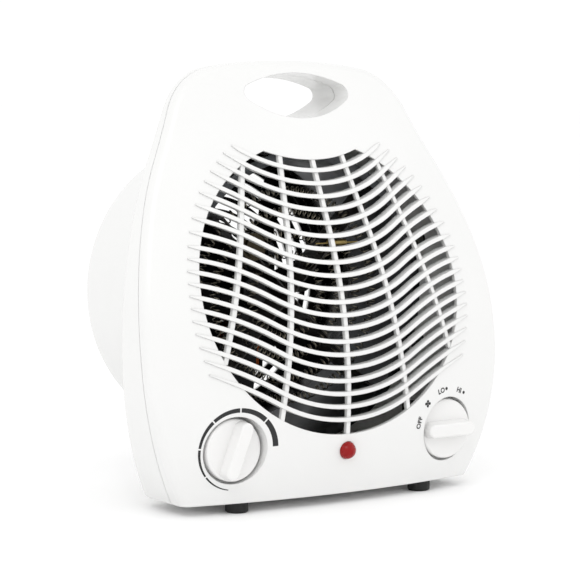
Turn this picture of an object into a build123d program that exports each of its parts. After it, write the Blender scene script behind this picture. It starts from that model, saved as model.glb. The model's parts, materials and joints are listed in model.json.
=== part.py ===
from build123d import *
from math import acos, asin, cos, degrees, radians, sin, sqrt, tan
import os

# Fan convector heater, millimetres. +Z is up, the grille faces -Y, +X is to the right seen from the
# front. The origin is on the floor, under the middle of the whole object.

# ---- driving dimensions: casing ----
height = 250
front_y = -75  # foremost point, on the indicator lens
back_end_y = 79.5
depth = back_end_y - front_y
wall = 2.5
floor_gap = 6  # underside of the casing above the floor
face_radius = 226.6  # side view of the front: one long arc, most forward at face_apex_z
face_apex_y = -72.3
face_apex_z = 63.3
face_arc_top_z = 170
face_top_y = -13
plan_radius = 440  # the same front seen from above
back_radius = 200  # rear wall of the body seen from above
back_y = 15
rounding = 5.5
split_depth = 24  # joint between the two casings, behind the front face
split_depth_top = 12
split_bend_z = 130
split_gap = 0.4
lip_depth = 5
outline = [(50, 246), (80.5, 222.5), (94, 195), (119.5, 76), (98, floor_gap)]  # right half, down the side
handle_sections = [  # Y, half width, Z of the ends, top and bottom
    (-34, 41.5, 233.5, 244.3, 217.3),
    (26, 34.5, 230, 239.2, 215),
]
handle_corner = 5

# ---- round rear housing, fan axis ----
fan_z = 114
drum_radius = 87
drum_back_y = back_end_y
drum_rounding = 8
duct_radius = 80
duct_front_y = -24
duct_back_y = 42
flange_radius = 92
flange_boss_radius = 89.2
flange_boss_angle = 20
inlet_rings = 8
inlet_first_radius = 15
inlet_pitch = 8
inlet_slot = 4.2
inlet_spoke = 7

# ---- grille ----
opening_half_width = 87
opening_half_height = 82
opening_z = 122.5
opening_top_z = 193.5
bar_count = 20
bar_pitch = 7.3
first_bar_z = 187.6
bar_thick = 2.4
bar_tip_thick = 0.7
bar_radius = 95  # a bar is a smile in the middle and bends the other way from bar_bend_x outwards
bar_bend_x = 46
bar_side_x = 84
bar_side_turn = 10  # a middle bar's slope at bar_side_x, in degrees; the top bars run out straight
level_bar_z = 123
bar_proud = 0.9
grille_depth = 4
rib_width = 2.6
rib_depth = 3
rib_lines = [(0, 200, 0, 36), (21, 198, 43.5, 50), (46, 192, 77, 84)]  # top X and Z, bottom X and Z

# ---- controls ----
thermostat_x = -71
mode_x = 75
knob_z = 36.4
knob_radius = 17.35
knob_front_y = -63.5
knob_back_y = -56.2
grip_front_y = -70.5
pocket_floor_y = -55.3
pocket_radius = 18.9
thermostat_rest = 22  # the grip's lean from upright, clockwise seen from the front
grip_length = 33.6
grip_width = 10
grip_front_length = 32.6
grip_front_width = 7.6
switch_width = 24
switch_height = 28
switch_depth = 16
tab_length = 7
spindle_radius = 3
bush_radius = 4.4
knob_places = [(thermostat_x, knob_z), (mode_x, knob_z)]
control_front_y = pocket_floor_y + wall + 0.2
lens_z = 31.2
lens_radius = 5

# ---- fan and motor ----
shaft_radius = 1.6
running_gap = 0.04
blade_count = 6
blade_tip_radius = 72
blade_twist = 32
rotor_radius = 12
air_gap = 0.35
stack_front_y = 50
stack_back_y = 64
bridge_thick = 3
strap_y = 70
motor_screw_x = 25
window_low_z = 83  # the winding's leg of the stack is below this window
window_high_z = 97
stack_low_z = 71
stack_high_z = 141

# ---- fixings ----
foot_radius = 6.5
stem_radius = 3
feet = {"front_left": (-63, -53), "front_right": (63, -53), "rear_left": (-46, 40), "rear_right": (46, 40)}
case_screw_rows = [  # places, Y of the tips, Y under the heads
    ([(-90, 15), (90, 15)], -44, -16),
    ([(-66, 206), (66, 206)], -19.5, -4),
]
case_screw_places = [place for places, tip, seat in case_screw_rows for place in places]
screw_radius = 1.5
screw_head_radius = 3
small_screw_radius = 1.2
small_head_radius = 2.6
tail_half_width = 56
tail_back_y = 50
tail_top_z = 40
cord_radius = 3.6
cord_z = 17

os.makedirs("parts", exist_ok=True)


def finish(builder, label):
    """Write the part, moved so that the whole heater's box is centred over the origin."""
    part = Pos(0, -(front_y + back_end_y) / 2, 0) * builder.part
    part.label = label
    export_step(part, f"parts/{label}.step")


def front_plane(y):
    """A plane that faces the front at the given Y, with X to the right and Z up."""
    return Plane.XZ.offset(-y)


def pull(start_y, end_y, mode=Mode.ADD):
    """Extrude the sketch just drawn on the front plane at start_y as far as end_y."""
    extrude(amount=start_y - end_y, mode=mode)


# ---- casing surfaces ----
def face_y(z):
    """The front face in the middle plane, as Y at a height."""
    centre_y = face_apex_y + face_radius
    low = min(z, face_arc_top_z)
    y = centre_y - sqrt(face_radius**2 - (low - face_apex_z) ** 2)
    return y + (face_top_y - y) * (z - low) / (height - face_arc_top_z)


def face_points(shift):
    return [(face_y(z) + shift, z) for z in (-20, 20, 63, 110, 150, 190, 225, 262)]


def behind_face(shift):
    """Everything behind the front face, which curves in side view and in plan, moved back by shift."""
    axis_y = face_apex_y + plan_radius
    half_turn = 25
    out_x = -sin(radians(half_turn))
    out_y = -cos(radians(half_turn))
    start = Plane(origin=(0, axis_y, 0), x_dir=(out_x, out_y, 0), z_dir=(out_y, -out_x, 0))
    with BuildPart() as solid:
        with BuildSketch(start):
            with BuildLine():
                face = Spline([(axis_y - y, z) for y, z in face_points(shift)])
                Polyline(face @ 1, (0, (face @ 1).Y), (0, (face @ 0).Y), face @ 0)
            make_face()
        revolve(axis=Axis((0, axis_y, 0), (0, 0, 1)), revolution_arc=2 * half_turn)
    return solid.part


def split_y(z):
    """The joint between the casings, nearer to the face towards the thin top."""
    rise = max(0, z - split_bend_z) / (height - split_bend_z)
    return face_y(z) + split_depth + (split_depth_top - split_depth) * rise


def front_zone(shift):
    """Everything in front of the split surface, which follows the face in side view only."""
    with BuildPart() as zone:
        with BuildSketch(Plane.YZ):
            with BuildLine():
                split = Spline([(split_y(z) + shift, z) for z in (-20, 20, 63, 110, 150, 190, 225, 262)])
                Polyline(split @ 1, (-depth, (split @ 1).Y), (-depth, (split @ 0).Y), split @ 0)
            make_face()
        extrude(amount=depth, both=True)
    return zone.part


def body_blank(inset):
    """The body as a full solid, every wall moved inwards by inset."""
    with BuildPart() as blank:
        with BuildSketch(Plane.XZ):
            with BuildLine():
                crown_end = outline[0]
                crown = ThreePointArc((-crown_end[0], crown_end[1]), (0, height), crown_end)
                shoulder = TangentArc(crown_end, outline[1], tangent=crown % 1)
                neck = TangentArc(shoulder @ 1, outline[2], tangent=shoulder % 1)
                flank = TangentArc(neck @ 1, outline[3], tangent=neck % 1)
                hip = TangentArc(flank @ 1, outline[4], tangent=flank % 1)
                mirror([shoulder, neck, flank, hip], about=Plane.YZ)
                Line(hip @ 1, (-outline[4][0], floor_gap))
            make_face()
            if inset:
                offset(amount=-inset)
        extrude(amount=depth, both=True)
        add(behind_face(inset * 1.1), mode=Mode.INTERSECT)
        with BuildSketch(Plane.XY.offset(-10)):
            with Locations((0, back_y - back_radius)):
                Circle(back_radius - inset)
        extrude(amount=height + 40, mode=Mode.INTERSECT)
        rim = blank.edges().filter_by(lambda e: e.geom_type != GeomType.LINE)
        sill = rim.group_by(Axis.Z)[0].sort_by(Axis.Y)[0]  # the front's lower edge stays crisp
        fillet([edge for edge in rim if edge is not sill], rounding - inset)
    return blank.part


def handle_void(grow):
    """The finger hole of the handle: a boat shape that narrows towards the back."""
    with BuildPart() as void:
        for y, half, end_z, top_z, low_z in handle_sections:
            with BuildSketch(front_plane(y)) as mouth:
                with BuildLine():
                    roof = ThreePointArc((-half, end_z), (0, top_z), (half, end_z))
                    ThreePointArc(roof @ 1, (0, low_z), roof @ 0)
                make_face()
                fillet(mouth.vertices(), handle_corner)
                if grow:
                    offset(amount=grow)
        loft()
    return void.part


outer_blank = body_blank(0)
inner_blank = body_blank(wall)
lip_blank = body_blank(wall + 1.6)
void = handle_void(0)
front_half = front_zone(-split_gap / 2)
back_half_cut = front_zone(split_gap / 2)

with BuildPart() as handle_wall:
    add(handle_void(wall - 0.3))
    add(outer_blank, mode=Mode.INTERSECT)

with BuildPart() as body_shell:
    add(outer_blank)
    add(inner_blank, mode=Mode.SUBTRACT)
    add(handle_wall.part)
    add(void, mode=Mode.SUBTRACT)


def rods(places, radius, start_y, end_y):
    """Round bars along Y, one at each X, Z place."""
    with BuildPart() as group:
        with BuildSketch(front_plane(start_y)):
            with Locations(*places):
                Circle(radius)
        pull(start_y, end_y)
    return group.part


def foot_holes(row):
    """Holes in the underside for the stems of two rubber feet."""
    with BuildPart() as holes:
        with BuildSketch(Plane.XY):
            with Locations(*[place for name, place in feet.items() if name.startswith(row)]):
                Circle(stem_radius + 0.1)
        extrude(amount=floor_gap + wall + 1)
    return holes.part


# ---- front casing: shell, grille, knob pockets and screw bosses in one moulding ----
bar_bend = asin(bar_bend_x / bar_radius)


def bar_slope(x, low_z):
    """Slope angle of a bar at x, and the radius of its outer bend."""
    if x <= bar_bend_x:
        return asin(x / bar_radius), bar_radius
    straight = min(1, max((low_z - level_bar_z) / 65, (level_bar_z - low_z) / 140))
    end_slope = radians(bar_side_turn) * (1 - straight) + bar_bend * straight
    radius = (bar_side_x - bar_bend_x) / (sin(bar_bend) - sin(end_slope) + 0.001)
    return asin(sin(bar_bend) - (x - bar_bend_x) / radius), radius


def bar_height(x, low_z):
    """Rise of a bar above its middle."""
    slope, radius = bar_slope(x, low_z)
    if x <= bar_bend_x:
        return bar_radius * (1 - cos(slope))
    return bar_radius * (1 - cos(bar_bend)) + radius * (cos(slope) - cos(bar_bend))


def bar_reach(low_z, half_width, half_height, centre_z):
    """How far out a bar crosses an ellipse around the grille."""
    x = 0
    while x < half_width:
        dz = bar_height(x, low_z) + low_z - centre_z
        if (x / half_width) ** 2 + (dz / half_height) ** 2 > 1:
            break
        x += 0.5
    return x


def bar_outline(low_z):
    """One grille bar seen from the front, with ends that run past the opening to blunt tips."""
    edge_x = max(bar_reach(low_z, opening_half_width, opening_half_height, opening_z), bar_bend_x + 1)
    tip_x = max(bar_reach(low_z, 94, 100, 118), edge_x + 3)
    half = bar_thick / 2
    tip_half = bar_tip_thick / 2

    def point(x, side):
        slope, radius = bar_slope(x, low_z)
        return (x - sin(slope) * side, low_z + bar_height(x, low_z) + cos(slope) * side)

    def left(places):
        return [(-x, z) for x, z in places]

    low_side = [point(x, -half) for x in (bar_bend_x, (bar_bend_x + edge_x) / 2, edge_x)]
    high_side = [point(x, half) for x in (edge_x, (bar_bend_x + edge_x) / 2, bar_bend_x)]
    tip = [low_side[2], point(tip_x, -tip_half), point(tip_x, tip_half), high_side[0]]
    with BuildSketch() as bar:
        with BuildLine():
            ThreePointArc(*left(low_side[:1]), (0, low_z - half), low_side[0])
            ThreePointArc(*low_side)
            Polyline(*tip)
            ThreePointArc(*high_side)
            ThreePointArc(high_side[2], (0, low_z + half), *left(high_side[2:]))
            ThreePointArc(*left(high_side))
            Polyline(*left(tip))
            ThreePointArc(*left(low_side))
        make_face()
    return bar.sketch_local


top_corner = (bar_bend_x, opening_top_z + bar_height(bar_bend_x, opening_top_z))

with BuildPart() as opening:
    with BuildSketch(front_plane(-depth / 2)):
        with Locations((0, opening_z)):
            Ellipse(opening_half_width, opening_half_height)
        with BuildLine():
            ThreePointArc((-top_corner[0], top_corner[1]), (0, opening_top_z), top_corner)
            Polyline(top_corner, (60, height), (-60, height), (-top_corner[0], top_corner[1]))
        make_face(mode=Mode.SUBTRACT)
    pull(-depth / 2, -10)

with BuildPart() as bars:
    with BuildSketch(front_plane(-depth / 2)):
        for index in range(bar_count):
            add(bar_outline(first_bar_z - index * bar_pitch))
    pull(-depth / 2, -5)
    add(behind_face(-bar_proud), mode=Mode.INTERSECT)
    add(behind_face(grille_depth), mode=Mode.SUBTRACT)

with BuildPart() as ribs:
    with BuildSketch(front_plane(-depth / 2)):
        for top_x, top_z, low_x, low_z in rib_lines:
            length = sqrt((top_z - low_z) ** 2 + (low_x - top_x) ** 2)
            lean = degrees(acos((top_z - low_z) / length))
            for side in ((1, -1) if top_x else (1,)):
                with Locations((side * (top_x + low_x) / 2, (top_z + low_z) / 2)):
                    Rectangle(rib_width, length, rotation=side * lean)
    pull(-depth / 2, -5)
    add(behind_face(0.5), mode=Mode.INTERSECT)
    add(behind_face(rib_depth), mode=Mode.SUBTRACT)

with BuildPart() as cups:
    with BuildSketch(front_plane(-depth / 2)):
        with Locations(*knob_places):
            Circle(pocket_radius + wall)
    pull(-depth / 2, pocket_floor_y + wall)
    add(behind_face(1), mode=Mode.INTERSECT)

with BuildPart() as front_bosses:
    add(rods(case_screw_places, 4, -66, -10))
    add(front_half, mode=Mode.INTERSECT)
    add(behind_face(wall / 2), mode=Mode.INTERSECT)

with BuildPart() as pilots:
    add(rods(case_screw_places, screw_radius, -66, -10))
    add(behind_face(wall + 1), mode=Mode.INTERSECT)

with BuildPart() as front_casing:
    add(body_shell.part)
    add(front_half, mode=Mode.INTERSECT)
    add(opening.part, mode=Mode.SUBTRACT)
    add(bars.part)
    add(ribs.part)
    add(cups.part)
    with BuildSketch(front_plane(-depth / 2)):
        with Locations(*knob_places):
            Circle(pocket_radius)
    pull(-depth / 2, pocket_floor_y, mode=Mode.SUBTRACT)
    with BuildSketch(front_plane(-depth / 2)):
        with Locations(*knob_places):
            Circle(bush_radius + 0.2)
        with Locations((0, lens_z)):
            Circle(lens_radius + 0.1)
    pull(-depth / 2, -50, mode=Mode.SUBTRACT)
    add(front_bosses.part)
    add(pilots.part, mode=Mode.SUBTRACT)
    add(foot_holes("front"), mode=Mode.SUBTRACT)
finish(front_casing, "front_casing")


# ---- rear casing: rest of the body, round fan housing, inlet grille, tail with the rear feet ----
def drum(radius, start_y, end_y, round_by):
    with BuildPart() as can:
        with BuildSketch(front_plane(start_y)):
            with Locations((0, fan_z)):
                Circle(radius)
        pull(start_y, end_y)
        fillet(can.edges().group_by(Axis.Y)[-1], round_by)
    return can.part


flange_places = [
    (side * flange_boss_radius * cos(radians(turn)), fan_z + flange_boss_radius * sin(radians(turn)))
    for side in (-1, 1)
    for turn in (-flange_boss_angle, flange_boss_angle)
]
strap_places = [(-64, fan_z), (64, fan_z)]

with BuildPart() as lip:
    add(inner_blank)
    add(lip_blank, mode=Mode.SUBTRACT)
    add(front_zone(-lip_depth), mode=Mode.SUBTRACT)
    add(handle_void(wall), mode=Mode.SUBTRACT)
    add(rods(case_screw_places, 5, -70, 10), mode=Mode.SUBTRACT)
    add(front_zone(2), mode=Mode.INTERSECT)

with BuildPart() as tail:
    with BuildSketch(Plane.XY.offset(floor_gap)):
        with Locations((0, tail_back_y / 2 - 10)):
            RectangleRounded(2 * tail_half_width, tail_back_y + 20, 8)
    extrude(amount=tail_top_z - floor_gap)
    fillet(tail.edges().group_by(Axis.Z)[0], 2)
    add(inner_blank, mode=Mode.SUBTRACT)

with BuildPart() as tail_room:
    with BuildSketch(Plane.XY.offset(floor_gap + wall)):
        with Locations((0, tail_back_y / 2 - 10)):
            RectangleRounded(2 * (tail_half_width - wall), tail_back_y + 20 - 2 * wall, 5.5)
    extrude(amount=tail_top_z)
    add(front_zone(30), mode=Mode.SUBTRACT)

with BuildPart() as outer_can:
    add(drum(drum_radius, -14, drum_back_y, drum_rounding))
    add(drum(drum_radius - wall, -15, drum_back_y - wall, drum_rounding - wall), mode=Mode.SUBTRACT)
    add(outer_blank, mode=Mode.SUBTRACT)
    with BuildSketch(Plane.XY):
        with Locations((0, 20)):
            Rectangle(2 * (tail_half_width - wall) - 10, 50)
    extrude(amount=fan_z - drum_radius + 6, mode=Mode.SUBTRACT)

with BuildPart() as back_bosses:
    add(rods(case_screw_places, 5, -60, 10))
    add(rods(flange_places, 4, duct_front_y + 0.6, 0))
    add(outer_blank, mode=Mode.INTERSECT)
    add(back_half_cut, mode=Mode.SUBTRACT)

with BuildPart() as rear_casing:
    add(body_shell.part)
    add(back_half_cut, mode=Mode.SUBTRACT)
    add(lip.part)
    add(tail.part)
    add(tail_room.part, mode=Mode.SUBTRACT)
    add(drum(drum_radius - wall, -30, drum_back_y - wall, drum_rounding - wall), mode=Mode.SUBTRACT)
    add(outer_can.part)
    add(back_bosses.part)
    add(rods(case_screw_places, screw_radius + 0.3, -60, 20), mode=Mode.SUBTRACT)
    for places, tip_y, seat_y in case_screw_rows:
        add(rods(places, 3.4, seat_y, 20), mode=Mode.SUBTRACT)
    add(rods(flange_places, small_screw_radius, duct_front_y, -14), mode=Mode.SUBTRACT)
    add(rods(strap_places, 4, strap_y + 2, drum_back_y - 1))
    add(rods(strap_places, small_screw_radius, strap_y, drum_back_y - wall - 1), mode=Mode.SUBTRACT)
    with BuildSketch(front_plane(drum_back_y - wall - 1)):
        with Locations((0, fan_z)):
            for ring in reversed(range(inlet_rings)):
                radius = inlet_first_radius + inlet_pitch * ring
                Circle(radius + inlet_slot)
                Circle(radius, mode=Mode.SUBTRACT)
            for spoke in range(4):
                Rectangle(2 * drum_radius, inlet_spoke, rotation=45 * spoke, mode=Mode.SUBTRACT)
    pull(drum_back_y - wall - 1, drum_back_y + 1, mode=Mode.SUBTRACT)
    add(rods([(0, cord_z)], cord_radius + 1.6, tail_back_y - 10, tail_back_y + 5), mode=Mode.SUBTRACT)
    add(foot_holes("rear"), mode=Mode.SUBTRACT)
finish(rear_casing, "rear_casing")


# ---- rubber feet ----
for name, (x, y) in feet.items():
    with BuildPart() as foot:
        with BuildSketch(Plane.XY):
            with Locations((x, y)):
                Circle(foot_radius)
        extrude(amount=floor_gap)
        chamfer(foot.edges().group_by(Axis.Z)[0], 0.8)
        with BuildSketch(Plane.XY.offset(floor_gap)):
            with Locations((x, y)):
                Circle(stem_radius)
        extrude(amount=wall + 1)
    finish(foot, f"foot_{name}")

# ---- screws that hold the casings together ----
with BuildPart() as case_screws:
    for places, tip_y, seat_y in case_screw_rows:
        add(rods(places, screw_radius, tip_y, seat_y))
        add(rods(places, screw_head_radius, seat_y, seat_y + 2))
finish(case_screws, "case_screws")

# ---- knobs, spindles and the controls behind them ----
controls = {"thermostat": (thermostat_x, 90 - thermostat_rest), "mode": (mode_x, 0)}


def spindle_shape(x, end_y):
    """A round spindle with a flat on the stretch that the knob holds."""
    with BuildPart() as spindle:
        add(rods([(x, knob_z)], spindle_radius, knob_front_y + 1.5, end_y))
        with BuildSketch(front_plane(knob_front_y)):
            with Locations((x, knob_z + 2 * spindle_radius - 0.8)):
                Rectangle(3 * spindle_radius, 2 * spindle_radius)
        pull(knob_front_y, knob_back_y, mode=Mode.SUBTRACT)
    return spindle.part


for name, (x, grip_turn) in controls.items():
    with BuildPart() as knob:
        add(rods([(x, knob_z)], knob_radius, knob_front_y, knob_back_y))
        fillet(knob.edges().group_by(Axis.Y)[0], 1.2)
        for y, length, width in [
            (knob_front_y + 0.4, grip_length, grip_width),
            (grip_front_y, grip_front_length, grip_front_width),
        ]:
            with BuildSketch(front_plane(y)):
                with Locations((x, knob_z)):
                    SlotOverall(length, width, rotation=grip_turn)
        loft()
        fillet(knob.edges().group_by(Axis.Y)[0], 1.2)
        add(spindle_shape(x, knob_back_y), mode=Mode.SUBTRACT)
    finish(knob, f"{name}_knob")
    with BuildPart() as spindle:
        add(spindle_shape(x, control_front_y + 8))
    finish(spindle, f"{name}_spindle")
    control_back_y = control_front_y + switch_depth
    spindle_bore = rods([(x, knob_z)], spindle_radius + running_gap, pocket_floor_y, control_front_y + 8.5)
    with BuildPart() as control:
        with BuildSketch(front_plane(control_front_y)):
            with Locations((x, knob_z)):
                RectangleRounded(switch_width, switch_height, 2)
        pull(control_front_y, control_back_y)
        add(rods([(x, knob_z)], bush_radius, pocket_floor_y, control_front_y))
        add(spindle_bore, mode=Mode.SUBTRACT)
        for tab_x in (-6, 6):
            with BuildSketch(front_plane(control_back_y)):
                with Locations((x + tab_x, knob_z)):
                    Rectangle(0.8, 6.3)
            pull(control_back_y, control_back_y + tab_length)
    finish(control, "thermostat_switch" if name == "thermostat" else "mode_switch")

# ---- indicator ----
lens_face_y = face_y(lens_z)
bore_radius = lens_radius - 1.4
collar_radius = lens_radius + 1.5
rim_y = lens_face_y - 0.5
dome_height = rim_y - front_y
with BuildPart() as lens:
    with BuildSketch(Plane.YZ):
        with BuildLine():
            dome = ThreePointArc(
                (rim_y - dome_height, lens_z),
                (rim_y - 0.83 * dome_height, lens_z + lens_radius / 2),
                (rim_y, lens_z + lens_radius),
            )
            Polyline(
                dome @ 1,
                (lens_face_y + 4, lens_z + lens_radius),
                (lens_face_y + 4, lens_z + collar_radius),
                (lens_face_y + 5.2, lens_z + collar_radius),
                (lens_face_y + 5.2, lens_z + lens_radius),
                (lens_face_y + 8, lens_z + lens_radius),
                (lens_face_y + 8, lens_z + bore_radius),
                (lens_face_y + 0.5, lens_z + bore_radius),
                (lens_face_y + 0.5, lens_z),
                dome @ 0,
            )
        make_face()
    revolve(axis=Axis((0, 0, lens_z), (0, 1, 0)))
finish(lens, "indicator_lens")
with BuildPart() as lamp:
    add(rods([(0, lens_z)], 2.8, lens_face_y + 1.5, lens_face_y + 13))
    fillet(lamp.edges().group_by(Axis.Y)[0], 2.4)
finish(lamp, "indicator_lamp")
with BuildPart() as lamp_holder:
    add(rods([(0, lens_z)], lens_radius + 1, lens_face_y + 8, lens_face_y + 16))
    add(rods([(0, lens_z)], 2.8, lens_face_y + 8, lens_face_y + 13), mode=Mode.SUBTRACT)
finish(lamp_holder, "lamp_holder")

# ---- air duct ----
sheet = 0.6
with BuildPart() as duct:
    add(rods([(0, fan_z)], duct_radius, duct_front_y, duct_back_y))
    add(rods([(0, fan_z)], duct_radius + 5, duct_front_y, duct_front_y + sheet))
    add(rods(flange_places, 5, duct_front_y, duct_front_y + sheet))
    add(rods([(0, fan_z)], duct_radius - sheet, duct_front_y, duct_back_y), mode=Mode.SUBTRACT)
    add(rods(flange_places, 1.4, duct_front_y, duct_front_y + sheet), mode=Mode.SUBTRACT)
finish(duct, "air_duct")
with BuildPart() as duct_screws:
    add(rods(flange_places, small_screw_radius, duct_front_y, duct_front_y + 9))
    add(rods(flange_places, small_head_radius, duct_front_y - 1.6, duct_front_y))
finish(duct_screws, "duct_screws")

# ---- heating element ----
mica_front_y = -14
mica_back_y = 8
mica_thick = 0.8
coil_y = -8
coil_radius = 3.2
coil_rings = {"low_heat_winding": (24, 36), "high_heat_winding": (49, 61)}


def rings(radii, radius):
    with BuildPart() as group:
        for ring in radii:
            with Locations(Location((0, coil_y, fan_z), (90, 0, 0))):
                Torus(ring, radius)
    return group.part


for name, turn, slot_start, slot_end in [
    ("mica_board_rising", 45, mica_front_y, (mica_front_y + mica_back_y) / 2),
    ("mica_board_falling", -45, (mica_front_y + mica_back_y) / 2, mica_back_y),
]:
    with BuildPart() as board:
        with BuildSketch(front_plane(mica_front_y)):
            with Locations((0, fan_z)):
                Rectangle(2 * (duct_radius - sheet) - 0.6, mica_thick, rotation=turn)
        pull(mica_front_y, mica_back_y)
        with BuildSketch(front_plane(slot_start)):
            with Locations((0, fan_z)):
                Rectangle(mica_thick + 0.1, 4, rotation=turn)
        pull(slot_start, slot_end, mode=Mode.SUBTRACT)
        for radii in coil_rings.values():
            add(rings(radii, coil_radius + 0.15), mode=Mode.SUBTRACT)
    finish(board, name)
for name, radii in coil_rings.items():
    with BuildPart() as winding:
        add(rings(radii, coil_radius))
    finish(winding, name)
cutout_at = (-30, fan_z + 30)
with BuildPart() as cutout:
    add(rods([cutout_at], 8, mica_front_y - 6, mica_front_y))
    add(rods([cutout_at], 6, mica_front_y - 7.5, mica_front_y - 6))
finish(cutout, "thermal_cutout")
with BuildPart() as fuse:
    with Locations(Location((30, mica_front_y - 2, fan_z + 30), (0, 90, 0))):
        Cylinder(2, 12)
        Cylinder(0.5, 30)
finish(fuse, "thermal_fuse")

# ---- fan ----
hub_front_y = 22
hub_back_y = 37
axis_place = [(0, fan_z)]
with BuildPart() as impeller:
    add(rods(axis_place, 11, hub_front_y, hub_back_y))
    fillet(impeller.edges().group_by(Axis.Y)[0], 3)
    for blade in range(blade_count):
        around = radians(blade * 360 / blade_count + 15)
        pitch = radians(blade_twist)
        radial = (cos(around), 0, sin(around))
        normal = (-sin(around) * sin(pitch), cos(pitch), cos(around) * sin(pitch))
        with BuildSketch(Plane(origin=(0, 29.5, fan_z), x_dir=radial, z_dir=normal)):
            with BuildLine():
                tip = ThreePointArc((66, -15), (blade_tip_radius, 0), (66, 15))
                Polyline(tip @ 1, (9, 8), (9, -8), tip @ 0)
            make_face()
        extrude(amount=0.7, both=True)
    add(rods(axis_place, shaft_radius, hub_front_y - 1, hub_back_y + 1), mode=Mode.SUBTRACT)
finish(impeller, "fan_impeller")

# ---- motor ----
motor_screw_places = [(-motor_screw_x, fan_z), (motor_screw_x, fan_z)]
hole_radius = screw_radius + 0.2
with BuildPart() as shaft:
    add(rods(axis_place, shaft_radius, hub_front_y - 2, strap_y + 4))
finish(shaft, "motor_shaft")
with BuildPart() as rotor:
    add(rods(axis_place, rotor_radius, stack_front_y - 1, stack_back_y + 1))
    add(rods(axis_place, shaft_radius, stack_front_y - 1, stack_back_y + 1), mode=Mode.SUBTRACT)
finish(rotor, "motor_rotor")
window_z = (window_low_z + window_high_z) / 2
with BuildPart() as stack:
    with BuildSketch(front_plane(stack_front_y)):
        with Locations((0, (stack_low_z + stack_high_z) / 2)):
            RectangleRounded(60, stack_high_z - stack_low_z, 4)
        with Locations((0, window_z)):
            Rectangle(34, window_high_z - window_low_z, mode=Mode.SUBTRACT)
        with Locations(*axis_place):
            Circle(rotor_radius + air_gap, mode=Mode.SUBTRACT)
        with Locations(*motor_screw_places):
            Circle(hole_radius, mode=Mode.SUBTRACT)
    pull(stack_front_y, stack_back_y)
finish(stack, "stator_stack")


def block(half_x, y_range, z_range, mode=Mode.ADD):
    with BuildPart() as solid:
        with Locations((0, sum(y_range) / 2, sum(z_range) / 2)):
            Box(2 * half_x, y_range[1] - y_range[0], z_range[1] - z_range[0])
    return solid.part


leg = ((stack_front_y - 0.2, stack_back_y + 0.2), (stack_low_z - 0.2, window_low_z + 0.2))
sleeve = ((stack_front_y - 2, stack_back_y + 2), (stack_low_z - 2, window_low_z + 2))
cheek = ((stack_front_y - 8, stack_back_y + 8), (stack_low_z - 8, window_high_z - 1.5))
with BuildPart() as bobbin:
    add(block(16, *cheek))
    add(block(14.5, (0, depth), cheek[1]), mode=Mode.SUBTRACT)
    add(block(16, *sleeve))
    add(block(20, *leg), mode=Mode.SUBTRACT)
finish(bobbin, "winding_bobbin")
with BuildPart() as winding:
    add(block(14.4, (cheek[0][0] + 1, cheek[0][1] - 1), (cheek[1][0] + 1, cheek[1][1] - 1)))
    fillet(winding.edges().filter_by(Axis.X), 4)
    add(block(20, *sleeve), mode=Mode.SUBTRACT)
finish(winding, "motor_winding")
for name, face, back, post_end in [
    ("front", stack_front_y - 6, stack_front_y - 3, stack_front_y),
    ("rear", strap_y - bridge_thick, strap_y, stack_back_y),
]:
    with BuildPart() as bridge:
        with BuildSketch(front_plane(face)):
            with Locations(*axis_place):
                SlotOverall(2 * motor_screw_x + 10, 10)
                Circle(8)
        pull(face, back)
        add(rods(motor_screw_places, 4, min(face, post_end), max(back, post_end)))
        add(rods(motor_screw_places, hole_radius, face - 9, back + 9), mode=Mode.SUBTRACT)
        add(rods(axis_place, 4, face - 9, back + 9), mode=Mode.SUBTRACT)
    finish(bridge, f"{name}_bearing_bridge")
    with BuildPart() as bush:
        add(rods(axis_place, 4, face - 1, back))
        add(rods(axis_place, shaft_radius + running_gap, face - 1, back), mode=Mode.SUBTRACT)
    finish(bush, f"{name}_bush")
with BuildPart() as strap:
    with BuildSketch(front_plane(strap_y)):
        with Locations(*axis_place):
            SlotOverall(2 * 64 + 14, 14)
            Circle(4, mode=Mode.SUBTRACT)
        with Locations(*motor_screw_places):
            Circle(hole_radius, mode=Mode.SUBTRACT)
        with Locations(*strap_places):
            Circle(1.4, mode=Mode.SUBTRACT)
    pull(strap_y, strap_y + 2)
finish(strap, "motor_strap")
with BuildPart() as strap_screws:
    add(rods(strap_places, small_screw_radius, strap_y, strap_y + 5))
    add(rods(strap_places, small_head_radius, strap_y - 1.6, strap_y))
finish(strap_screws, "strap_screws")
with BuildPart() as motor_screws:
    add(rods(motor_screw_places, screw_radius, stack_front_y - 7, strap_y + 2))
    add(rods(motor_screw_places, screw_head_radius, strap_y + 2, strap_y + 4))
finish(motor_screws, "motor_screws")
with BuildPart() as motor_nuts:
    with BuildSketch(front_plane(stack_front_y - 8.4)):
        with Locations(*motor_screw_places):
            RegularPolygon(3.2, 6)
            Circle(screw_radius, mode=Mode.SUBTRACT)
    pull(stack_front_y - 8.4, stack_front_y - 6)
finish(motor_nuts, "motor_nuts")

# ---- mains inlet ----
with BuildPart() as grommet:
    add(rods([(0, cord_z)], cord_radius + 1.6, tail_back_y - wall, tail_back_y))
    add(rods([(0, cord_z)], cord_radius + 4, tail_back_y, tail_back_y + 2.5))
    add(rods([(0, cord_z)], cord_radius + 3, tail_back_y - wall - 2, tail_back_y - wall))
    add(rods([(0, cord_z)], cord_radius, tail_back_y - wall - 2, tail_back_y + 2.5), mode=Mode.SUBTRACT)
finish(grommet, "cord_grommet")
with BuildPart() as terminals:
    add(block(16, (8, 20), (floor_gap + wall, floor_gap + wall + 10)))
    for x in (-10, 0, 10):
        with Locations((x, 14, floor_gap + wall + 9)):
            Cylinder(2.2, 5, mode=Mode.SUBTRACT)
finish(terminals, "terminal_block")
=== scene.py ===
import json
import math

import bpy
from mathutils import Matrix, Vector


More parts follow.
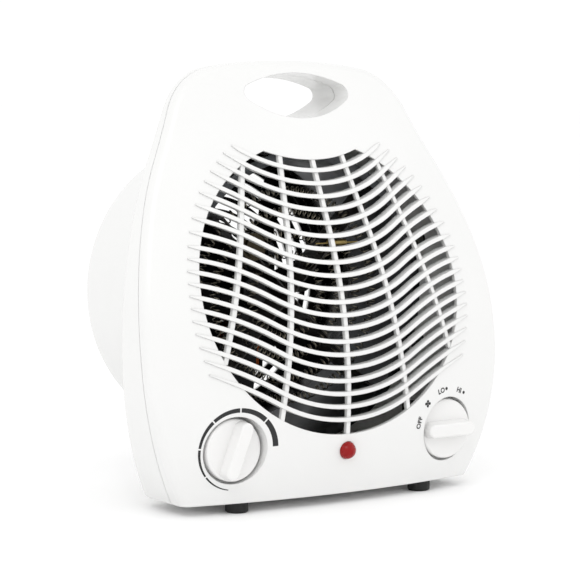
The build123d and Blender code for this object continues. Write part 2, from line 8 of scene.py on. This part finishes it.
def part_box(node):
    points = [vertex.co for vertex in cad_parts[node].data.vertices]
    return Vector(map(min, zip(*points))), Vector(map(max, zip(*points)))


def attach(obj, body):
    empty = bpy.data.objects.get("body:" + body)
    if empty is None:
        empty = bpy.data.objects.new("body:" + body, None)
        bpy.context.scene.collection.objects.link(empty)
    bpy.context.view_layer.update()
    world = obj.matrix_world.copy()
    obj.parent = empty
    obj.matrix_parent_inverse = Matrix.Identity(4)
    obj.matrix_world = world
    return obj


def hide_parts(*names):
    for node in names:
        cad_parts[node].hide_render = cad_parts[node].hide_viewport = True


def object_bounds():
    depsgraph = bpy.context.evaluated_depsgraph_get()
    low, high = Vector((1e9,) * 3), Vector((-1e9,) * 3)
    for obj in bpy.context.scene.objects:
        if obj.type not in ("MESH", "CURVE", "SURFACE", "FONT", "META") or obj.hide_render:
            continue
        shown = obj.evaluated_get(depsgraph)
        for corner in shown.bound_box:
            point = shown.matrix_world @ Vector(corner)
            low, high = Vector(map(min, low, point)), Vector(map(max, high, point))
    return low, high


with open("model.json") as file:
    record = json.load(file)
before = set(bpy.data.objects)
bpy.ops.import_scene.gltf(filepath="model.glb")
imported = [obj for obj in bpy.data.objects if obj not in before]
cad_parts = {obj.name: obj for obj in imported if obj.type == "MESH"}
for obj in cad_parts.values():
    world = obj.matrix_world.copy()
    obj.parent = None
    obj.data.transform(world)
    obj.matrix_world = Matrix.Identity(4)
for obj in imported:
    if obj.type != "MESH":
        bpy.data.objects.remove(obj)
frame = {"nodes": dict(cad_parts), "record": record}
nodes = frame["nodes"]
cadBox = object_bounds()
mm = 0.001


def toLinear(hexColour):
    channels = [int(hexColour[i:i + 2], 16) / 255 for i in (0, 2, 4)]
    linear = [c / 12.92 if c <= 0.04045 else ((c + 0.055) / 1.055) ** 2.4 for c in channels]
    return (*linear, 1.0)


def addNode(tree, kind, settings=None, links=None):
    node = tree.nodes.new(kind)
    for key, value in (settings or {}).items():
        if isinstance(key, int) or key in node.inputs:
            node.inputs[key].default_value = value
        else:
            setattr(node, key, value)
    for socket, source in (links or {}).items():
        tree.links.new(source, node.inputs[socket])
    return node


def deselectAll():
    for thing in bpy.context.selected_objects:
        thing.select_set(False)


def makeActive(piece):
    deselectAll()
    piece.select_set(True)
    bpy.context.view_layer.objects.active = piece


def applyModifiers(piece):
    makeActive(piece)
    for modifier in list(piece.modifiers):
        bpy.ops.object.modifier_apply(modifier=modifier.name)


def settle(piece):
    # place, turn and size go into the mesh
    makeActive(piece)
    bpy.ops.object.transform_apply(location=True, rotation=True, scale=True)


def joinAll(group):
    makeActive(group[0])
    for piece in group[1:]:
        piece.select_set(True)
    bpy.ops.object.join()
    return bpy.context.object


def faceOutwards(piece, mergeWithin=0):
    makeActive(piece)
    bpy.ops.object.mode_set(mode="EDIT")
    bpy.ops.mesh.select_all(action="SELECT")
    if mergeWithin:
        bpy.ops.mesh.remove_doubles(threshold=mergeWithin)
    bpy.ops.mesh.normals_make_consistent(inside=False)
    bpy.ops.object.mode_set(mode="OBJECT")


def paint(piece, material):
    if piece.data.materials:
        for index in range(len(piece.data.materials)):
            piece.data.materials[index] = material
    else:
        piece.data.materials.append(material)


def middleOf(node):
    low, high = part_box(node)
    return [(a + b) / 2 for a, b in zip(low, high)]


# painted shade: the wall of the round fan chamber is painted near black, from the front to just
# short of the inlet's face
chamberShadeLook = {
    "colour": "0b0b0b",
    "radius": 85.2,
    "backWall": 1.6,
}


# painted shade: near black within the chamber's radius of the fan axis and ahead of its back wall
def paintChamberShade(tree, place, tone):
    fromAxis = addNode(
        tree, "ShaderNodeVectorMath", {"operation": "SUBTRACT", 1: middleOf("fan_impeller")},
        {0: place.outputs["Object"]},
    )
    flat = addNode(
        tree, "ShaderNodeVectorMath", {"operation": "MULTIPLY", 1: (1, 0, 1)},
        {0: fromAxis.outputs[0]},
    )
    reach = addNode(tree, "ShaderNodeVectorMath", {"operation": "LENGTH"}, {0: flat.outputs[0]})
    within = addNode(
        tree, "ShaderNodeMath", {"operation": "LESS_THAN", 1: chamberShadeLook["radius"] * mm},
        {0: reach.outputs["Value"]},
    )
    depth = addNode(tree, "ShaderNodeSeparateXYZ", {}, {0: place.outputs["Object"]})
    ahead = addNode(
        tree, "ShaderNodeMath",
        {"operation": "LESS_THAN", 1: cadBox[1][1] - chamberShadeLook["backWall"] * mm},
        {0: depth.outputs["Y"]},
    )
    chamber = addNode(
        tree, "ShaderNodeMath", {"operation": "MULTIPLY"},
        {0: within.outputs[0], 1: ahead.outputs[0]},
    )
    return addNode(
        tree, "ShaderNodeMix", {"data_type": "RGBA", 7: toLinear(chamberShadeLook["colour"])},
        {0: chamber.outputs[0], 6: tone.outputs[2]},
    )


bandsPerUnit = 20  # waves in 2 pi units of a band texture at scale 1


def surfaceFinish(name, look, paintedChamberShade=False):
    # colour drifts between two tones, roughness varies, and a fine relief catches the light
    material = bpy.data.materials.new(name)
    material.use_nodes = True
    tree = material.node_tree
    tree.nodes.clear()
    place = addNode(tree, "ShaderNodeTexCoord")
    stretched = addNode(
        tree, "ShaderNodeMapping",
        {"Scale": look.get("stretch", (1, 1, 1)), "vector_type": "TEXTURE"},
        {"Vector": place.outputs["Object"]},
    )
    over = {"Vector": stretched.outputs["Vector"]}
    kind = look.get("pattern", "noise")
    scale = 1 / (look["patternSize"] * mm)
    if kind == "noise":
        pattern = addNode(
            tree, "ShaderNodeTexNoise", {"Scale": scale, "Detail": 4.0, "Roughness": 0.55}, over,
        ).outputs["Fac"]
    elif kind == "spangle":
        pattern = addNode(
            tree, "ShaderNodeTexVoronoi", {"Scale": scale}, over,
        ).outputs["Color"]
    else:
        pattern = addNode(
            tree, "ShaderNodeTexWave",
            {"Scale": scale / bandsPerUnit * 2 * math.pi, "wave_type": "BANDS",
             "bands_direction": look.get("along", "Y")},
            over,
        ).outputs["Fac"]
    tone = addNode(
        tree, "ShaderNodeMix",
        {"data_type": "RGBA", 6: toLinear(look["colour"]), 7: toLinear(look["secondColour"])},
        {0: pattern},
    )
    # painted shade inside the fan chamber, mixed over the casing's own tones
    if paintedChamberShade:
        tone = paintChamberShade(tree, place, tone)
    shine = addNode(
        tree, "ShaderNodeMapRange",
        {"To Min": look["roughness"][0], "To Max": look["roughness"][1]},
        {"Value": pattern},
    )
    grain = addNode(
        tree, "ShaderNodeTexNoise", {"Scale": 1 / (look["grainSize"] * mm), "Detail": 2.0},
        {"Vector": place.outputs["Object"]},
    )
    relief = addNode(
        tree, "ShaderNodeBump", {"Strength": 1.0, "Distance": look["grainHeight"] * mm},
        {"Height": grain.outputs["Fac"]},
    )
    normal = relief.outputs["Normal"]
    if "patternHeight" in look:
        normal = addNode(
            tree, "ShaderNodeBump", {"Strength": 1.0, "Distance": look["patternHeight"] * mm},
            {"Height": pattern, "Normal": normal},
        ).outputs["Normal"]
    if "softEdge" in look:
        edge = addNode(tree, "ShaderNodeBevel", {"samples": 4, "Radius": look["softEdge"] * mm})
        tree.links.new(edge.outputs["Normal"], relief.inputs["Normal"])
    shader = addNode(
        tree, "ShaderNodeBsdfPrincipled",
        {"Metallic": look.get("metallic", 0.0), "IOR": look.get("ior", 1.5),
         "Specular IOR Level": look.get("specular", 0.5),
         "Transmission Weight": look.get("transmission", 0.0),
         "Coat Weight": look.get("coat", 0.0), "Coat Roughness": 0.03,
         "Subsurface Weight": look.get("subsurface", 0.0), "Subsurface Scale": 2 * mm},
        {"Base Color": tone.outputs[2], "Roughness": shine.outputs[0], "Normal": normal},
    )
    addNode(tree, "ShaderNodeOutputMaterial", {}, {"Surface": shader.outputs[0]})
    return material


finishes = {
    # glossy moulded ABS: soft mirror of the lights, a hardly visible flow of tone over the panel
    "white_casing": {
        "colour": "e6e6e5", "secondColour": "eaeae9", "patternSize": 60, "roughness": (0.2, 0.26),
        "grainSize": 0.9, "grainHeight": 0.004, "ior": 1.53, "softEdge": 0.7},
    # the same plastic from another mould: a shade paler, with tighter highlights on its edges
    "white_knob": {
        "colour": "e8e8e7", "secondColour": "ecebea", "patternSize": 20, "roughness": (0.2, 0.27),
        "grainSize": 0.8, "grainHeight": 0.003, "ior": 1.53, "softEdge": 0.5},
    # moulded black rubber: deep and matt, with hardly any highlight
    "black_rubber": {
        "colour": "060606", "secondColour": "0c0b0b", "patternSize": 3, "roughness": (0.6, 0.8),
        "grainSize": 0.3, "grainHeight": 0.02, "ior": 1.52},
    # zinc plating, passivated: grey metal with a faint blue and yellow drift
    "zinc_steel": {
        "colour": "8f9194", "secondColour": "a19e92", "patternSize": 4, "roughness": (0.25, 0.4),
        "grainSize": 0.15, "grainHeight": 0.003, "metallic": 1.0},
    # natural nylon: waxy, and light goes a little way into it
    "spindle_plastic": {
        "colour": "dcd8cc", "secondColour": "e8e5da", "patternSize": 5, "roughness": (0.4, 0.5),
        "grainSize": 0.3, "grainHeight": 0.005, "ior": 1.53, "subsurface": 0.1},
    # phenolic moulding: dark brown, faintly speckled by its filler
    "switch_body": {
        "colour": "17120f", "secondColour": "2a221d", "patternSize": 0.8,
        "roughness": (0.4, 0.55), "grainSize": 0.4, "grainHeight": 0.01, "ior": 1.6},
    # polished polycarbonate: deep red under a thin, sharp gloss
    "red_lens": {
        "colour": "8a0204", "secondColour": "960306", "patternSize": 4, "roughness": (0.05, 0.09),
        "grainSize": 1.5, "grainHeight": 0.002, "ior": 1.5, "specular": 0.3},
    # blown glass: clear, with a faint warm stain
    "lamp_glass": {
        "colour": "e8e0d8", "secondColour": "f5efe8", "patternSize": 3, "roughness": (0.03, 0.06),
        "grainSize": 1.0, "grainHeight": 0.001, "ior": 1.5, "transmission": 0.9},
    # moulded glass-filled nylon: black and dull with a fine grain
    "black_plastic": {
        "colour": "161616", "secondColour": "232323", "patternSize": 1.5,
        "roughness": (0.45, 0.6), "grainSize": 0.25, "grainHeight": 0.01, "ior": 1.53},
    # hot-dip galvanised sheet, painted darker as shade inside the housing: grey crystals about 6 mm
    # across
    "galvanised_sheet": {
        "colour": "4c4e50", "secondColour": "66686a", "pattern": "spangle", "patternSize": 6,
        "roughness": (0.3, 0.5), "grainSize": 0.3, "grainHeight": 0.004, "metallic": 1.0},
    # pressed mica browned by heat, and painted very dark as shade inside the housing, with a pearly
    # gloss on its 2 mm flakes
    "mica": {
        "colour": "1b1714", "secondColour": "332c26", "pattern": "spangle", "patternSize": 2.2,
        "roughness": (0.25, 0.55), "grainSize": 0.6, "grainHeight": 0.03, "ior": 1.58},
    # drawn nickel-chrome wire: grey metal with a straw heat tint
    "resistance_wire": {
        "colour": "8f8b83", "secondColour": "a89f8c", "patternSize": 6,
        "roughness": (0.25, 0.38), "grainSize": 0.2, "grainHeight": 0.002, "metallic": 1.0},
    # nickel-plated cap, painted dark as shade inside the housing: dark metal with a brown cast
    "cutout_metal": {
        "colour": "3a352c", "secondColour": "4b4438", "patternSize": 2, "roughness": (0.25, 0.4),
        "grainSize": 0.2, "grainHeight": 0.003, "metallic": 1.0},
    # drawn brass can: warm yellow metal, softly shining
    "fuse_metal": {
        "colour": "b39a5c", "secondColour": "c9b57e", "patternSize": 2, "roughness": (0.28, 0.42),
        "grainSize": 0.2, "grainHeight": 0.003, "metallic": 1.0},
    # rolled and pressed aluminium, painted dark as shade inside the housing: fine lines along the
    # sheet
    "impeller_metal": {
        "colour": "2a2a2b", "secondColour": "3b3b3d", "stretch": (1, 12, 12), "patternSize": 0.6,
        "roughness": (0.3, 0.45), "grainSize": 0.25, "grainHeight": 0.004, "metallic": 1.0},
    # ground steel: fine bright rings, drawn coarser than real at 0.4 mm so that they show
    "shaft_steel": {
        "colour": "a8a8a8", "secondColour": "c4c4c4", "pattern": "bands", "patternSize": 0.4,
        "roughness": (0.2, 0.35), "grainSize": 0.2, "grainHeight": 0.002, "metallic": 1.0},
    # stacked silicon-steel sheets: one dark line for each sheet of 0.7 mm
    "laminated_steel": {
        "colour": "4c4d50", "secondColour": "83858a", "pattern": "bands", "patternSize": 0.7,
        "patternHeight": 0.05, "roughness": (0.35, 0.55), "grainSize": 0.3,
        "grainHeight": 0.006, "metallic": 1.0},
    # enamelled copper wire in layers, drawn coarser than real at 0.8 mm so that it shows
    "copper_wire": {
        "colour": "7d3413", "secondColour": "c8703a", "pattern": "bands", "along": "X",
        "patternSize": 0.8, "patternHeight": 0.12, "roughness": (0.2, 0.35), "grainSize": 0.4,
        "grainHeight": 0.004, "metallic": 1.0, "coat": 0.5},
    # sintered bronze: porous and oily, brown with dull glints
    "bronze": {
        "colour": "7c5a34", "secondColour": "a07a4a", "patternSize": 0.5, "roughness": (0.4, 0.6),
        "grainSize": 0.15, "grainHeight": 0.02, "metallic": 1.0},
    # moulded natural nylon: cream, and light goes a little way into it
    "terminal_nylon": {
        "colour": "e4ddc8", "secondColour": "efe9d8", "patternSize": 6,
        "roughness": (0.35, 0.45), "grainSize": 0.4, "grainHeight": 0.004, "ior": 1.53,
        "subsurface": 0.1},
}
materials = {slot: surfaceFinish(slot, look) for slot, look in finishes.items()}
for part in frame["record"]["subparts"]:
    paint(nodes[part["node"]], materials[part["material_slot"]])
# the rear casing's white plastic, with painted shade on its fan chamber wall
paint(nodes["rear_casing"],
      surfaceFinish("white_rear_casing", finishes["white_casing"], paintedChamberShade=True))
print("finishes on", len(nodes), "nodes")

coilLook = {
    "rings": {"low_heat_winding": (24, 36), "high_heat_winding": (49, 61)},
    "wireRadius": 0.42,
    "wireSides": 6,
    "turnPitch": 3.4,
    "stepsPerTurn": 14,
    "ringGap": 0.35,  # clear of the coil's own space
    "mergeWithin": 0.02,
}


def coilRing(ringRadius, coilRadius, centre):
    # a straight spring from one small circle, then wrapped around a ring
    turns = round(2 * math.pi * ringRadius / coilLook["turnPitch"])
    length = 2 * math.pi * ringRadius * mm
    springRadius = (coilRadius - coilLook["wireRadius"] - coilLook["ringGap"]) * mm
    deselectAll()
    bpy.ops.mesh.primitive_circle_add(
        vertices=coilLook["wireSides"], radius=coilLook["wireRadius"] * mm, location=(0, 0, 0),
        rotation=(math.pi / 2, 0, 0),
    )
    wire = bpy.context.object
    settle(wire)
    for vertex in wire.data.vertices:
        vertex.co.z += springRadius
    screw = wire.modifiers.new("spring", "SCREW")
    screw.axis = "X"
    screw.angle = 2 * math.pi * turns
    screw.screw_offset = length
    screw.steps = screw.render_steps = coilLook["stepsPerTurn"] * turns
    screw.use_merge_vertices = False
    applyModifiers(wire)
    for vertex in wire.data.vertices:
        around = vertex.co.x / length * 2 * math.pi
        reach = ringRadius * mm + vertex.co.z
        vertex.co = (centre[0] + reach * math.cos(around), centre[1] + vertex.co.y,
                     centre[2] + reach * math.sin(around))
    faceOutwards(wire, coilLook["mergeWithin"] * mm)
    bpy.ops.object.shade_smooth()
    return wire


for node, ringRadii in coilLook["rings"].items():
    low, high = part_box(node)
    coilRadius = (high[1] - low[1]) / 2 / mm
    coil = joinAll([coilRing(radius, coilRadius, middleOf(node)) for radius in ringRadii])
    coil.name = node.replace("winding", "coils")
    paint(coil, materials["resistance_wire"])
    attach(coil, "housing")
    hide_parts(node)
print("coils wound")

# pad-printed ink: dark grey and satin, standing just proud of the casing
inkLook = {
    "finish": {
        "colour": "101113", "secondColour": "17181a", "patternSize": 3, "roughness": (0.35, 0.45),
        "grainSize": 0.2, "grainHeight": 0.004},
    "thickness": 0.06,
    "clearance": 0.03,
    "startAhead": 1,  # marks are laid out this far in front of the heater, then pressed back
}
ink = surfaceFinish("dial_ink", inkLook["finish"])
inkPlane = cadBox[0][1] - inkLook["startAhead"] * mm


def layOnFace(piece, name):
    # pressed back onto the front casing, then given the ink's thickness
    wrap = piece.modifiers.new("onto face", "SHRINKWRAP")
    wrap.target = nodes["front_casing"]
    wrap.wrap_method = "PROJECT"
    wrap.use_project_x = False
    wrap.use_project_y = True
    wrap.use_project_z = False
    wrap.use_positive_direction = True
    wrap.use_negative_direction = False
    wrap.offset = inkLook["clearance"] * mm
    wall = piece.modifiers.new("ink", "SOLIDIFY")
    wall.thickness = inkLook["thickness"] * mm
    wall.offset = 1
    applyModifiers(piece)
    piece.name = name
    paint(piece, ink)
    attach(piece, "housing")


# the growing arc around the thermostat knob; angles run clockwise from straight up
scaleLook = {
    "knob": "thermostat_knob",
    "radius": 22.4,
    "shift": 1.4,  # to the right of the knob's centre
    "segments": 6,
    "start": 188.5,
    "sweep": 260,
    "gap": 2.2,
    "widths": (0.5, 3.4),
    "stepsPerSegment": 24,
}
knobX, _, knobZ = middleOf(scaleLook["knob"])
knobX += scaleLook["shift"] * mm
perSegment = scaleLook["sweep"] / scaleLook["segments"]
firstWidth, lastWidth = scaleLook["widths"]
strips = []
for segment in range(scaleLook["segments"]):
    deselectAll()
    bpy.ops.mesh.primitive_grid_add(
        x_subdivisions=scaleLook["stepsPerSegment"], y_subdivisions=2, size=1)
    strip = bpy.context.object
    firstAngle = scaleLook["start"] + segment * perSegment + scaleLook["gap"] / 2
    for vertex in strip.data.vertices:
        along = vertex.co.x + 0.5
        angle = math.radians(firstAngle + along * (perSegment - scaleLook["gap"]))
        whole = (segment + along) / scaleLook["segments"]
        width = firstWidth + (lastWidth - firstWidth) * whole
        reach = (scaleLook["radius"] + vertex.co.y * width) * mm
        vertex.co = (knobX + reach * math.sin(angle), inkPlane, knobZ + reach * math.cos(angle))
    strips.append(strip)
heatScale = joinAll(strips)
faceOutwards(heatScale)
layOnFace(heatScale, "heat_scale")

# the words, dots and fan sign around the mode knob; angles run clockwise from straight up
modeLook = {
    "knob": "mode_knob",
    "radius": 23.6,
    "places": {"OFF": -76, "fan": -46, "LO": -15, "HI": 22},
    "letterHeight": 2.9,
    "capitalShare": 0.7,  # height of a capital in a font of size 1
    "strokeSpread": 0.12,
    "dotRadius": 0.95,
    "dotOffset": 4.3,
    "dotSides": 24,
    "fanHubRadius": 0.55,
    "fanBladeRadius": 0.85,
    "fanBladeReach": 1.35,
    "fanBlades": 4,
}


def flatText(words):
    deselectAll()
    bpy.ops.object.text_add(location=(0, 0, 0))
    letters = bpy.context.object
    letters.data.body = words
    letters.data.align_x = "CENTER"
    letters.data.align_y = "CENTER"
    letters.data.size = modeLook["letterHeight"] / modeLook["capitalShare"] * mm
    letters.data.offset = modeLook["strokeSpread"] * mm
    bpy.ops.object.convert(target="MESH")
    return bpy.context.object


def dot(radius, x, y):
    deselectAll()
    bpy.ops.mesh.primitive_circle_add(
        vertices=modeLook["dotSides"], radius=radius * mm, fill_type="NGON",
        location=(x * mm, y * mm, 0))
    settle(bpy.context.object)
    return bpy.context.object


def fanSign():
    signDots = [dot(modeLook["fanHubRadius"], 0, 0)]
    for blade in range(modeLook["fanBlades"]):
        turn = math.radians((blade + 0.5) * 360 / modeLook["fanBlades"])
        signDots.append(dot(modeLook["fanBladeRadius"],
                            modeLook["fanBladeReach"] * math.cos(turn),
                            modeLook["fanBladeReach"] * math.sin(turn)))
    return joinAll(signDots)


def standUp(piece, centre, angle):
    # from flat on the floor to upright on the front, turned to its place around the knob
    turn = Matrix.Rotation(angle, 4, "Y") @ Matrix.Rotation(math.pi / 2, 4, "X")
    reach = modeLook["radius"] * mm
    spot = Matrix.Translation((centre[0] + reach * math.sin(angle), inkPlane,
                               centre[2] + reach * math.cos(angle)))
    piece.data.transform(spot @ turn)


marks = []
for label, angle in modeLook["places"].items():
    if label == "fan":
        mark = fanSign()
    elif label == "OFF":
        mark = flatText(label)
    else:
        mark = joinAll([flatText(label), dot(modeLook["dotRadius"], modeLook["dotOffset"], 0)])
    standUp(mark, middleOf(modeLook["knob"]), math.radians(angle))
    marks.append(mark)
layOnFace(joinAll(marks), "mode_marks")
print("marks printed")

studio = {
    # matt white paint, hardly showing any relief
    "floorFinish": {
        "colour": "fbfbfb", "secondColour": "fdfdfd", "patternSize": 80,
        "roughness": (0.75, 0.85), "grainSize": 2, "grainHeight": 0.005},
    "floorSize": 60,  # metres
    "worldStrength": 1.05,
    "lights": {
        "key_light": {"power": 4.8, "size": 1.0, "place": (-1.0, -0.9, 1.4)},
        "fill_light": {"power": 1.5, "size": 1.2, "place": (1.2, -1.2, 0.8)},
    },
    "lightAim": (0, 0, 0.12),
    "cameraPlace": (-0.72737, -1.10344, 0.23333),
    "cameraTurn": (84.94, 0, -33.733),
    "lens": 140.6,
    "sensorWidth": 36,
}
deselectAll()
bpy.ops.mesh.primitive_plane_add(size=studio["floorSize"], location=(0, 0, 0))
floor = bpy.context.object
floor.name = "studio_floor"
paint(floor, surfaceFinish("painted_floor", studio["floorFinish"]))

world = bpy.data.worlds.new("white_studio")
bpy.context.scene.world = world
world.use_nodes = True
background = world.node_tree.nodes["Background"]
background.inputs["Color"].default_value = (1, 1, 1, 1)
background.inputs["Strength"].default_value = studio["worldStrength"]

for name, light in studio["lights"].items():
    deselectAll()
    bpy.ops.object.light_add(type="AREA", location=light["place"])
    lamp = bpy.context.object
    lamp.name = name
    lamp.data.energy = light["power"]
    lamp.data.size = light["size"]
    towards = Vector(studio["lightAim"]) - Vector(light["place"])
    lamp.rotation_euler = towards.to_track_quat("-Z", "Y").to_euler()

bpy.ops.object.camera_add(location=studio["cameraPlace"],
                          rotation=[math.radians(a) for a in studio["cameraTurn"]])
camera = bpy.context.object
camera.data.lens = studio["lens"]
camera.data.sensor_width = studio["sensorWidth"]
bpy.context.scene.camera = camera
bpy.context.scene.view_settings.view_transform = "Standard"  # keeps whites white and red deep
print("studio set")
